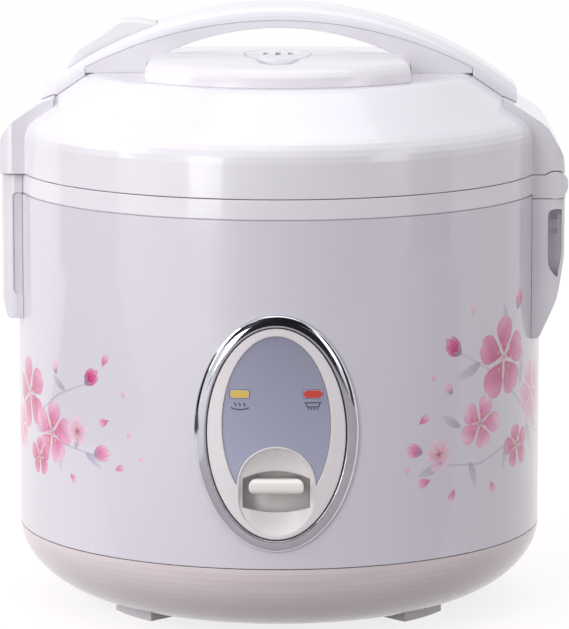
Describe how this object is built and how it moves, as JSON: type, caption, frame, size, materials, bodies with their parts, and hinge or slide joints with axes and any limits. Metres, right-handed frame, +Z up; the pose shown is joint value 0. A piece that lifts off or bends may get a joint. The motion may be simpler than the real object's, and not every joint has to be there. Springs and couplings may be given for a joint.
{
  "type": "rice cooker",
  "caption": "Jar-style electric rice cooker with a hinged lid and arched handle, latch button, lift-out steam cap, inner pot, heating plate, sprung sensor and thermal switch lever.",
  "frame": {"origin": "centre of the feet's underside, on the floor", "axes": "+Z up; the front panel faces -Y; the lid's hinge is on +X and its latch on -X"},
  "size_m": [0.2821, 0.2692, 0.3015],
  "materials": {
    "amber_lens": "gloss",
    "bezel_plastic": "gloss",
    "board": "matte",
    "brass_pins": "polished",
    "bright_steel": "brushed",
    "cast_plate": "satin",
    "ceramic": "matte",
    "chrome": "polished",
    "cup_plastic": "satin",
    "dark_plastic": "matte",
    "element_tube": "dull",
    "grey_plastic": "matte",
    "lamp": "gloss",
    "magnet_black": "dull",
    "mica": "matte",
    "panel_tint": "satin",
    "pearl_plastic": "gloss",
    "pot_metal": "satin",
    "red_lens": "gloss",
    "seal_rubber": "matte",
    "sheet_metal": "satin",
    "sleeve_paint": "gloss",
    "soft_foot": "matte",
    "white_plastic": "gloss"
  },
  "bodies": {
    "base": {"base_shell": "white_plastic", "feet": "soft_foot", "body_sleeve": "sleeve_paint", "upper_ring": "white_plastic", "hinge_ear": "white_plastic", "latch_ear": "white_plastic", "hinge_pin": "bright_steel", "hinge_spring": "bright_steel", "inner_housing": "sheet_metal", "side_heater": "mica", "heating_plate": "cast_plate", "heating_element": "element_tube", "plate_legs": "bright_steel", "chassis_screws": "bright_steel", "sensor_seat": "bright_steel", "sensor_spring": "bright_steel", "lever_bracket": "bright_steel", "lever_pin": "bright_steel", "micro_switch": "dark_plastic", "thermal_fuse": "ceramic", "terminal_block": "ceramic", "power_inlet": "dark_plastic", "inlet_pins": "brass_pins", "trim_ring": "chrome", "panel_bezel": "bezel_plastic", "panel_plate": "panel_tint", "warm_lens": "amber_lens", "cook_lens": "red_lens", "indicator_board": "board", "indicator_lamps": "lamp"},
    "pot": {"inner_pot": "pot_metal"},
    "cup": {"drip_cup": "cup_plastic"},
    "lever": {"cook_lever": "bright_steel", "switch_knob": "bezel_plastic"},
    "magnet": {"magnet_carrier": "magnet_black"},
    "sensor": {"sensor_cap": "sheet_metal"},
    "lid": {"lid_shell": "white_plastic", "lid_deck": "white_plastic", "handle_cover": "white_plastic", "handle_grip": "white_plastic", "handle_screws": "bright_steel", "lid_liner": "grey_plastic", "inner_lid": "sheet_metal", "lid_gasket": "seal_rubber", "lid_grommet": "seal_rubber", "vent_duct": "grey_plastic", "vent_seal": "seal_rubber", "button_spring": "bright_steel", "latch_pin": "bright_steel", "latch_spring": "bright_steel"},
    "button": {"release_button": "pearl_plastic"},
    "hook": {"latch_hook": "bright_steel"},
    "steam": {"steam_cap": "white_plastic"}
  },
  "joints": [
    {"name": "lid_hinge", "type": "hinge", "parent": "base", "child": "lid", "pos_m": [0.1367, 0, 0.2145], "axis": [0, 1, 0], "range_deg": [0, 80]},
    {"name": "release_press", "type": "slide", "parent": "lid", "child": "button", "axis": [0, 0, -1], "range_m": [0, 0.0025], "stiffness_N_per_m": 1500, "springref_m": -0.0008, "deforming": ["button_spring"]},
    {"name": "latch_swing", "type": "hinge", "parent": "lid", "child": "hook", "pos_m": [-0.127, 0, 0.236], "axis": [0, 1, 0], "range_deg": [0, 5.5]},
    {"name": "vent_lift", "type": "slide", "parent": "lid", "child": "steam", "axis": [0, 0, 1], "range_m": [0, 0.015]},
    {"name": "drip_cup_pull", "type": "slide", "parent": "base", "child": "cup", "axis": [1, 0, 0], "range_m": [0, 0.015]},
    {"name": "cook_lever_press", "type": "hinge", "parent": "base", "child": "lever", "pos_m": [0, -0.042, 0.05], "axis": [1, 0, 0], "range_deg": [0, 5], "stiffness_Nm_per_rad": 0.6, "springref_deg": -1.15},
    {"name": "magnet_lift", "type": "slide", "parent": "base", "child": "magnet", "axis": [0, 0, 1], "range_m": [0, 0.00375]},
    {"name": "sensor_press", "type": "slide", "parent": "base", "child": "sensor", "axis": [0, 0, -1], "range_m": [0, 0.0015], "stiffness_N_per_m": 3000, "springref_m": -0.0005, "deforming": ["sensor_spring"]},
    {"name": "pot_turn", "type": "hinge", "parent": "base", "child": "pot", "pos_m": [0, 0, 0.1], "axis": [0, 0, 1], "continuous": true}
  ],
  "couplings": [
    {"joint": "latch_swing", "follows": "release_press", "rad_per_m": 37.04},
    {"joint": "magnet_lift", "follows": "cook_lever_press", "m_per_rad": 0.042}
  ]
}
